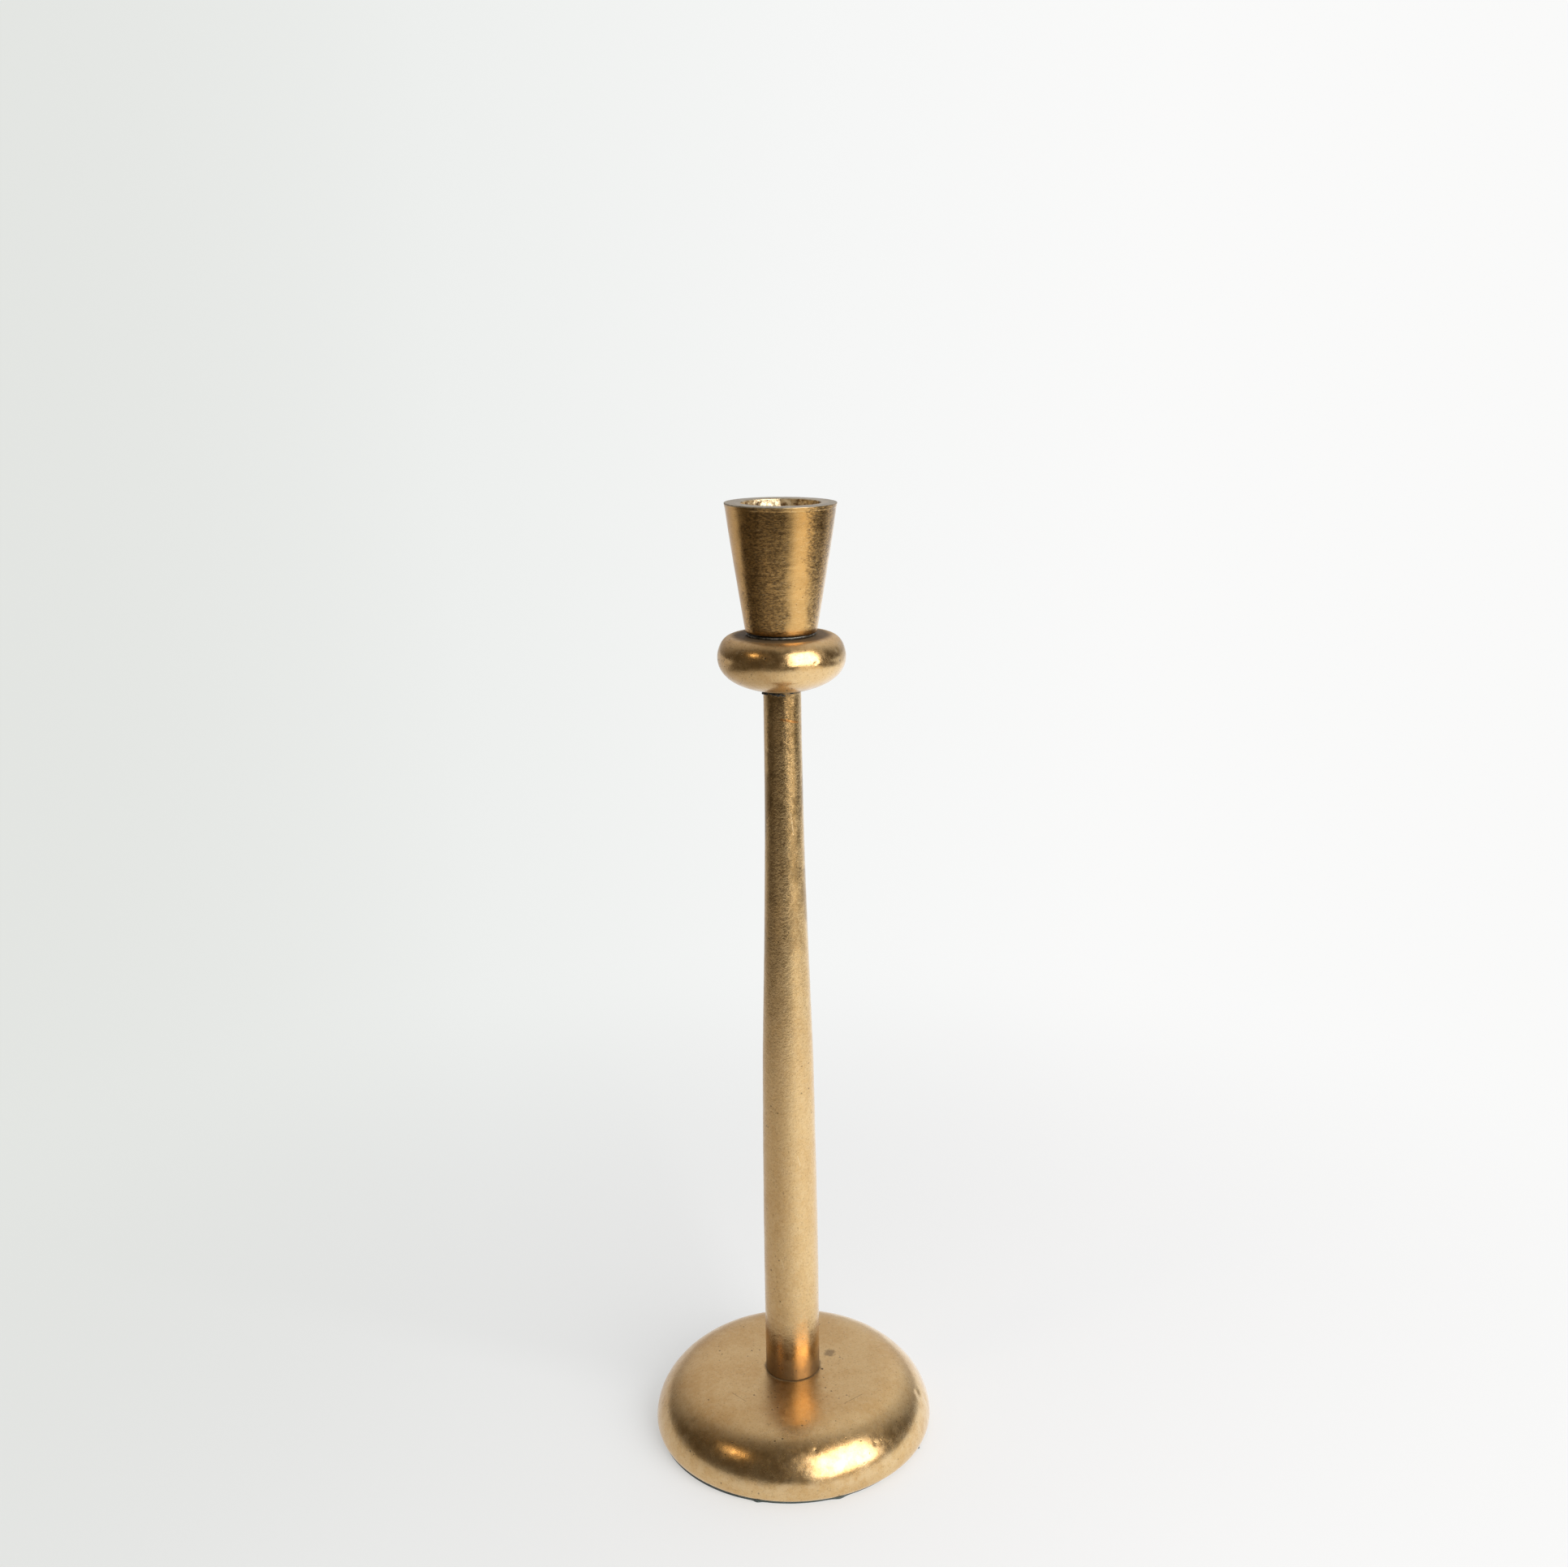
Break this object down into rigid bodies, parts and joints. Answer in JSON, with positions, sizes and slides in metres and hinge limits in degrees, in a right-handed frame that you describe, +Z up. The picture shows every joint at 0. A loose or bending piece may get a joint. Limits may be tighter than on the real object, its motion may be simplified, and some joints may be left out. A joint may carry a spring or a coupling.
{
  "type": "candlestick",
  "caption": "Tall candlestick with a round felted base, a slim tapering stem, a round collar and a flared candle cup that screws off.",
  "frame": {"origin": "centre of the felt's underside, on the surface the candlestick stands on", "axes": "+Z up along the stem; +X towards the side that the cup leans to when it is screwed home; +Y away from the viewer of the front"},
  "size_m": [0.0876, 0.0876, 0.2924],
  "materials": {
    "cast_brass": "satin cast brass, fine sand grain, rounded parts rubbed brighter",
    "stem_brass": "satin cast brass with brown patina towards the top",
    "aged_brass": "olive-brown aged brass with fine turning marks",
    "dark_steel": "dull dark grey, oxidised",
    "zinc_steel": "zinc-plated steel",
    "felt": "dark green baize"
  },
  "bodies": {
    "stand": {"felt_pad": "felt", "base": "cast_brass", "base_screw": "zinc_steel", "base_spring_washer": "zinc_steel", "base_flat_washer": "zinc_steel", "stem": "stem_brass", "stem_stud": "zinc_steel", "collar": "cast_brass"},
    "loose_ring": {"seat_washer": "dark_steel"},
    "cup": {"candle_cup": "aged_brass"}
  },
  "joints": [
    {"name": "cup_turn", "type": "hinge", "parent": "stand", "child": "loose_ring", "pos_m": [0, 0, 0.25492], "axis": [0, 0, 1], "range_deg": [0, 3240]},
    {"name": "cup_lift", "type": "slide", "parent": "loose_ring", "child": "cup", "axis": [0, 0, 1], "range_m": [0, 0.009]}
  ],
  "couplings": [
    {"joint": "cup_turn", "follows": "cup_lift", "rad_per_m": 6283.2}
  ]
}
